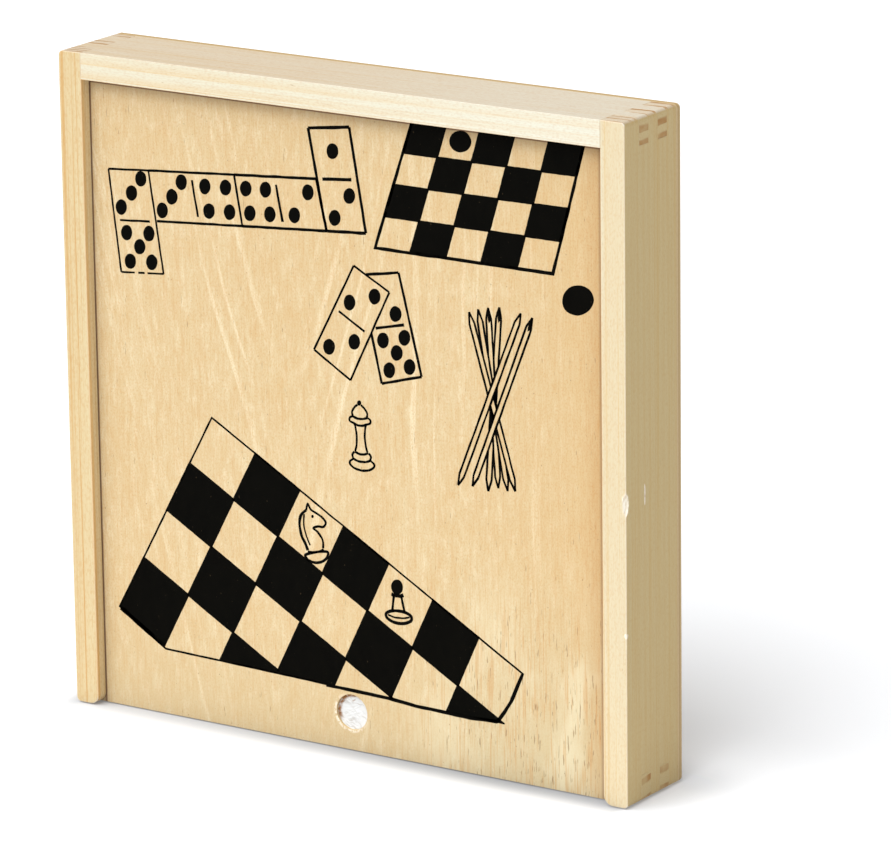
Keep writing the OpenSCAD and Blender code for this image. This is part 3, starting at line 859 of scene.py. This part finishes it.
def draw_sticks(sheet):
    """A loose sheaf of pointed sticks, two of them lying across the others, some with inked tips."""
    width = 1.75
    tip = 3.4
    crossing = [((60.2, 140.0), (38.3, 86.3)), ((64.1, 139.2), (43.2, 86.7))]
    behind = [((42.7, 138.1), (57.8, 87.3)), ((45.8, 139.3), (55.2, 87.0)),
              ((49.2, 140.2), (52.0, 87.4)), ((53.0, 140.8), (48.6, 86.0))]
    covers = []
    for place, (top, foot) in enumerate(crossing + behind):
        top, foot = Vector(top), Vector(foot)
        along = (foot - top).normalized()
        side = Vector((-along.y, along.x)) * width / 2
        below_tip, above_tip = top + along * tip, foot - along * tip
        outline = [top, below_tip + side, above_tip + side, foot, above_tip - side, below_tip - side]
        for start, end in zip(outline, outline[1:] + outline[:1]):
            sheet.straight(start, end, 0.68, covers)
        if place in (1, 4, 5):
            sheet.blot([top, below_tip + side, below_tip + along * 1.2, below_tip - side * 0.4])
        covers.append(outline)


class Figure:
    """A drawing one high and standing on its own origin, which is sized, turned and put on the sheet."""

    def __init__(self, sheet, foot, height, lean):
        self.sheet = sheet
        self.foot = Vector(foot)
        self.height = height
        self.turn = Matrix.Rotation(math.radians(lean), 2)

    def point(self, x, z):
        return self.foot + self.turn @ Vector((x, z)) * self.height

    def line(self, points, width, closed=False):
        """A line through the points, rounded between them."""
        self.sheet.stroke(rounded([self.point(*p) for p in points], closed), width, closed)

    def ring(self, z, half, sag, width=0.75):
        """A hoop seen from the front, sagging in the middle."""
        self.line([(share * half, z - drop * sag)
                   for share, drop in ((-1, 0), (-0.5, 0.8), (0, 1), (0.5, 0.8), (1, 0))], width)

    def mirrored(self, profile, width=0.7):
        """A profile's line on both sides of the middle."""
        self.line([(-x, z) for x, z in profile], width)
        self.line(profile, width)


def draw_bishop(sheet):
    """A turned man with a ball on its pointed cap."""
    man = Figure(sheet, (5.1, 86.2), 20.4, 2)
    man.mirrored([(0, -0.02), (0.12, 0.0), (0.2, 0.05), (0.205, 0.1), (0.15, 0.145), (0.16, 0.2),
                  (0.12, 0.25)])
    man.mirrored([(0.105, 0.26), (0.078, 0.36), (0.07, 0.5), (0.085, 0.62), (0.1, 0.66)])
    man.mirrored([(0.1, 0.665), (0.17, 0.69), (0.175, 0.74), (0.12, 0.77)])
    man.mirrored([(0.12, 0.775), (0.13, 0.83), (0.085, 0.9), (0.03, 0.945)])
    man.ring(0.145, 0.15, 0.035)
    man.ring(0.25, 0.115, 0.03)
    man.ring(0.665, 0.1, 0.025)
    man.ring(0.77, 0.125, 0.03)
    sheet.oval(man.point(0, 0.972), 0.75, 0.8)


def draw_pawn(sheet):
    """A pawn with a black head, on a light square of the lower board."""
    man = Figure(sheet, (17.2, 41.6), 12.6, 3)
    man.line([(-0.34, 0.1), (-0.2, 0.02), (0, -0.01), (0.2, 0.02), (0.34, 0.1), (0.34, 0.2), (0.2, 0.27),
              (0, 0.29), (-0.2, 0.27), (-0.34, 0.2)], 1.0, closed=True)
    man.ring(0.17, 0.3, 0.05, 0.6)
    man.mirrored([(0.17, 0.28), (0.13, 0.5), (0.1, 0.66)], 0.85)
    man.ring(0.68, 0.17, 0.03, 1.1)
    sheet.oval(man.point(0, 0.86), 2.1, 2.3)


def draw_knight(sheet):
    """A horse's head on a round foot, on a light square of the lower board."""
    man = Figure(sheet, (-10.9, 55.8), 17.4, 15)
    man.line([(-0.22, 0.08), (-0.12, 0.01), (0, -0.01), (0.12, 0.01), (0.22, 0.08), (0.2, 0.16),
              (-0.2, 0.16)], 0.85, closed=True)
    man.ring(0.2, 0.17, 0.03, 0.75)
    man.line([(0.16, 0.22), (0.19, 0.36), (0.13, 0.5), (0.06, 0.58), (0.16, 0.6), (0.27, 0.58), (0.34, 0.64),
              (0.3, 0.73), (0.2, 0.82), (0.1, 0.9), (0.06, 1.0), (0.0, 0.9)], 0.75)
    man.line([(0.0, 0.9), (-0.12, 0.84), (-0.2, 0.7), (-0.22, 0.5), (-0.18, 0.34), (-0.16, 0.22)], 0.95)
    man.line([(-0.06, 0.84), (-0.12, 0.66), (-0.12, 0.46), (-0.09, 0.3)], 0.55)
    sheet.oval(man.point(0.1, 0.78), 0.45, 0.5)


def chequer_tree():
    """Geometry nodes: the dark squares of a board whose four corners are given."""
    group = bpy.data.node_groups.new("chequer", "GeometryNodeTree")
    kinds = {
        "Int": ("Columns", "Rows", "First"),
        "Float": ("Growth", "Ragged", "Crowding"),
        "Vector": ("Outward", "Sink", "Top left", "Top right", "Low left", "Low right"),
        "Material": ("Ink",),
    }
    for kind, names in kinds.items():
        for name in names:
            group.interface.new_socket(name, in_out="INPUT", socket_type="NodeSocket" + kind)
    group.interface.new_socket("Geometry", in_out="OUTPUT", socket_type="NodeSocketGeometry")
    t = Tree(group)
    given = {socket.name: Value(t, socket) for socket in t.node("NodeGroupInput").outputs}
    columns, rows = given["Columns"], given["Rows"]
    grid = t.node("GeometryNodeMeshGrid", None,
                  {"Size X": columns, "Size Y": rows, "Vertices X": columns + 1, "Vertices Y": rows + 1})
    middles = t.node("GeometryNodeMeshToPoints", {"mode": "FACES"}, {"Mesh": grid.outputs["Mesh"]})
    x, y, z = t.split(t.node("GeometryNodeInputPosition").outputs[0])
    count = (x + columns / 2).whole() + (rows / 2 - y).whole() + given["First"]
    light = (count / 2).part().step(0.2, 0.3)
    dark = t.node("GeometryNodeDeleteGeometry", {"domain": "POINT"},
                  {"Geometry": middles.outputs[0], "Selection": light})
    cell = t.node("GeometryNodeMeshCube", None, {"Vertices X": 13, "Vertices Y": 13, "Vertices Z": 2})
    cells = t.node("GeometryNodeInstanceOnPoints", None,
                   {"Points": dark.outputs[0], "Instance": cell.outputs["Mesh"],
                    "Scale": t.vector(given["Growth"], given["Growth"], 1.0)})
    real = t.node("GeometryNodeRealizeInstances", None, {"Geometry": cells.outputs[0]})
    share_x = (x + columns / 2) / columns
    share_y = (y + rows / 2) / rows
    share_y = share_y + share_y * (1 - share_y) * given["Crowding"]

    def between(share, first, second):
        return t.node("ShaderNodeMix", {"data_type": "VECTOR", "clamp_factor": False},
                      {"Factor_Float": share, "A_Vector": first, "B_Vector": second}).outputs[1]

    lower = between(share_x, given["Low left"], given["Low right"])
    upper = between(share_x, given["Top left"], given["Top right"])
    place = between(share_y, lower, upper)
    proud = between(z + 0.5, given["Sink"], given["Outward"])
    wave = t.node("ShaderNodeTexNoise", None, {"Vector": place, "Scale": 900.0, "Detail": 2.0})
    shake = t.vectors("SUBTRACT", wave.outputs["Color"], (0.5, 0.5, 0.5))
    shake = t.vectors("MULTIPLY", shake, (1, 0, 1))
    shake = t.vectors("SCALE", shake, scale=given["Ragged"])
    place = t.vectors("ADD", t.vectors("ADD", place, proud), shake)
    moved = t.node("GeometryNodeSetPosition", None, {"Geometry": real.outputs[0], "Position": place})
    inked = t.node("GeometryNodeSetMaterial", None, {"Geometry": moved.outputs[0], "Material": given["Ink"]})
    t.node("NodeGroupOutput", None, {"Geometry": inked.outputs[0]})
    return group


def chequered(name, tree, ink, face, outward, corners, columns, rows, first,
              growth=1.04, ragged=0.28, crowding=0.0):
    """The dark squares of a board printed on one face of the lid; its corners run round from the top left.

    First is 0 where the top left square is dark and 1 where it is light. Growth makes the squares overlap,
    ragged is how far their edges wander, and crowding narrows the top rows.
    """
    piece = link(name, bpy.data.meshes.new(name))
    made = piece.modifiers.new("chequer", "NODES")
    made.node_group = tree
    place = [Vector((x, face, z)) * MM for x, z in corners]
    given = {
        "Columns": columns, "Rows": rows, "First": first,
        "Growth": growth, "Ragged": ragged * MM, "Crowding": crowding,
        "Outward": (0, outward * INK_PROUD * MM, 0), "Sink": (0, -outward * INK_SINK * MM, 0),
        "Top left": place[0], "Top right": place[1], "Low right": place[2], "Low left": place[3],
        "Ink": ink,
    }
    for socket in tree.interface.items_tree:
        if socket.in_out == "INPUT":
            made[socket.identifier] = given[socket.name]
    return settled(piece)


def cut_below(piece, line):
    """Takes away what lies below a line drawn across the sheet."""
    (ax, az), (bx, bz) = line
    downward = Vector((bz - az, 0, ax - bx)).normalized()
    bm = bmesh.new()
    bm.from_mesh(piece.data)
    result = bmesh.ops.bisect_plane(bm, geom=bm.verts[:] + bm.edges[:] + bm.faces[:],
                                    plane_co=Vector((ax, 0, az)) * MM, plane_no=downward, clear_outer=True)
    rim = [e for e in result["geom_cut"] if isinstance(e, bmesh.types.BMEdge)]
    bmesh.ops.holes_fill(bm, edges=rim, sides=0)
    bm.to_mesh(piece.data)
    bm.free()


def make_print(ink):
    """The games drawn on the lid's face, and the board for them on its inner side."""
    tree = chequer_tree()
    upper = [(24.2, 191.6), (81.8, 191.7), (71.1, 152.9), (10.8, 152.9)]
    board = chequered("print_board_upper", tree, ink, LID_FRONT, -1, upper, 5, 4, 0, growth=1.06)
    fixed(board, "lid", "ink")
    lower = [(-48.1, 94.3), (60.1, 32.9), (30.2, -34.0), (-83.5, 30.8)]
    cut = [(-67.0, 20.2), (51.4, 16.8)]
    board = chequered("print_board_lower", tree, ink, LID_FRONT, -1, lower, 7, 4, 1, crowding=0.065)
    cut_below(board, cut)
    fixed(board, "lid", "ink")
    square = 20.0
    half = 4 * square
    middle = (low("lid").z + OPENING_TOP) / 2
    inner = [(half, middle + half), (-half, middle + half), (-half, middle - half), (half, middle - half)]
    board = chequered("playing_board", tree, ink, LID_BACK, 1, inner, 8, 8, 1, 1.0, 0.05)
    fixed(board, "lid", "ink")
    sheet = Sheet("print_drawings", LID_FRONT, -1, 17)
    draw_dominoes(sheet)
    draw_sticks(sheet)
    draw_bishop(sheet)
    draw_pawn(sheet)
    draw_knight(sheet)
    sheet.stroke([upper[0], upper[3], upper[2], upper[1]], 1.0)
    sheet.stroke([lower[1], lower[0], lower[3], cut[0], (-26.7, 19.2), (-9.0, 18.7)], 0.62)
    sheet.stroke([(-83.2, 30.5), (-67.2, 20.8)], 1.5)
    foot = [(-9.0, 18.5), (3.0, 18.2), (13.0, 18.0), (22.9, 17.2), (32.2, 17.0), (41.4, 16.7), (50.9, 17.2)]
    sheet.stroke(foot, 1.1)
    sheet.stroke([foot[-1], (53.4, 20.5), (55.6, 24.0), (57.1, 27.3), (58.3, 30.1), (59.6, 32.9)], 1.1)
    sheet.oval((40.4, 187.4), 3.75, 3.15)
    sheet.oval((79.3, 146.2), 5.3, 4.35, 0.16)
    fixed(sheet.finish(ink), "lid", "ink")
    edge = Sheet("playing_board_edge", LID_BACK, 1, 19)
    edge.stroke(inner, 1.2, closed=True)
    fixed(edge.finish(ink), "lid", "ink")


# Sets in the bays

def smooth_copy(node, name, material, slot):
    """A turned set: the CAD node's surface joined, shaded smooth and given its wood."""
    piece = link(name, mesh_of(merged(node), name), material)
    fixed(smooth(piece), "case", slot, node)


def make_dividers():
    """The dividers and shelves between the bays."""
    for node, seed in (("left_divider", 51), ("right_divider", 52)):
        plywood_sheet(node, node, "case", sheet_ease, "x", "z", seed)
    for number in range(1, 5):
        node = f"shelf_{number}"
        plywood_sheet(node, node, "case", sheet_ease, "z", "x", 55 + number)


def make_men():
    """The chessmen and draughtsmen, one side of pale wood and one of dark."""
    woods = {
        "light": game_wood("light_wood", colour("E9CB97"), colour("C99A5C"), 61, 0.32),
        "dark": game_wood("dark_wood", colour("5B3620"), colour("2E1A0F"), 67, 0.28),
    }
    for kind in ("king", "queen", "bishops", "knights", "rooks", "pawns", "discs"):
        for side, wood in woods.items():
            smooth_copy(f"{side}_{kind}", f"men_{side}_{kind}", wood, side + "_wood")


def make_sticks():
    """The sticks in their groups; rings are given by where they start and end, from the tips."""
    paints = {
        "black": (colour("15120F"), [(8, 50)]),
        "blue": (colour("1F4C9A"), [(8, 12), (15, 19), (22, 26)]),
        "green": (colour("1E7A3C"), [(8, 14), (18, 24)]),
        "red": (colour("B3231B"), [(8, 16)]),
        "gold": (colour("E0B021"), [(8, 11), (14, 17), (20, 23), (26, 29)]),
    }
    for name, (paint, bands) in paints.items():
        node = "sticks_" + name
        wood = stick_wood(node + "_wood", paint, low(node).z, high(node).z, bands)
        smooth_copy(node, "bundle_" + name, wood, "stick_" + name)


# On a tile: how near its sides its outer edges lie, how near them nothing is inked, and how deep pips are
RIM = 1.5
MARGIN = 0.9
PIP_DEEPEST = 0.6


def make_tiles(ink):
    """The dominoes, with their edges eased and their pips and middle lines painted."""
    wood = game_wood("tile_wood", colour("F0DDB6"), colour("DDBE88"), 71, 0.4)
    for first in range(7):
        for second in range(first, 7):
            node = f"domino_{first}_{second}"
            middle = (low(node) + high(node)) / 2
            half = (high(node) - low(node)) / 2

            def tile_ease(first_end, second_end):
                off = (first_end + second_end) / 2 - middle
                outer = abs(off.x) > half.x - RIM or abs(off.z) > half.z - RIM
                on_face = on(half.y, abs(first_end.y - middle.y), abs(second_end.y - middle.y))
                return 0.35 if on_face and outer else 0

            tile = eased(f"tile_{first}_{second}", node, tile_ease, wood)
            tile.data.materials.append(ink)
            for face in tile.data.polygons:
                off = face.center / MM - middle
                sunk = 0.01 < off.y + half.y < PIP_DEEPEST
                if sunk and abs(off.x) < half.x - MARGIN and abs(off.z) < half.z - MARGIN:
                    face.material_index = 1
            fixed(smooth(tile, 50), "case", "tile_wood", node)


# Floor

# The case stands on its high spots, so that a dark line shows under it
FLOOR_GAP = 0.4

# How strongly the floor glows
GLOW = 0.233


def make_floor():
    """A white table that the lid takes down with it, so that it never goes through.

    As in the photograph, it is shaded close before the case, and glows faintly, a little more to the right.
    """
    f = Finish("studio_floor", 2)
    mottle = f.noise(f.x * 0.004, f.y * 0.004, 0.0, 2.0)
    pale = f.mix(mottle, colour("F7F9FC"), colour("F4F6FA"))
    # Painted shadow: the floor is darker close before the case and, more faintly, beside its right side
    beside = f.x.step(CASE_RIGHT - 4, CASE_RIGHT + 1).most(f.y.step(0, 12))
    off_x = (f.x.size() - CASE_RIGHT).most(0) * (1.6 - beside)
    close = 1 - length(off_x, (LID_FRONT - f.y).most(0)).step(0, 16)
    in_front = 1 - f.y.step(10, 38)
    shade = close * in_front * (f.x * 0.0018 + 0.72) * (1 - beside * 0.6)
    pale = f.mix(shade, pale, colour("50555E"))
    # Painted light: the floor glows more beside the case, lifting the shade there
    lit = (1 - length(off_x, (f.y.size() - CASE_BACK).most(0)).step(10, 55)) * f.x.step(40, 95)
    f.feed(f.surface.inputs["Emission Color"], f.mix(lit, (0.6, 0.6, 0.6, 1), (1.0, 1.0, 1.0, 1)))
    f.feed(f.surface.inputs["Emission Strength"], GLOW)
    material = f.finish(pale, 0.7 + 0.1 * mottle, gloss=0.1)
    bm = bmesh.new()
    bmesh.ops.create_grid(bm, x_segments=8, y_segments=8, size=6.0)
    for v in bm.verts:
        v.co.z = -FLOOR_GAP * MM
    floor = link("floor", mesh_of(bm, "floor"), material)
    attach(floor, "lid")


set_camera()
set_light()
make_floor()
make_case()
make_lid()
ink = printing_ink()
make_print(ink)
make_dividers()
make_men()
make_sticks()
make_tiles(ink)
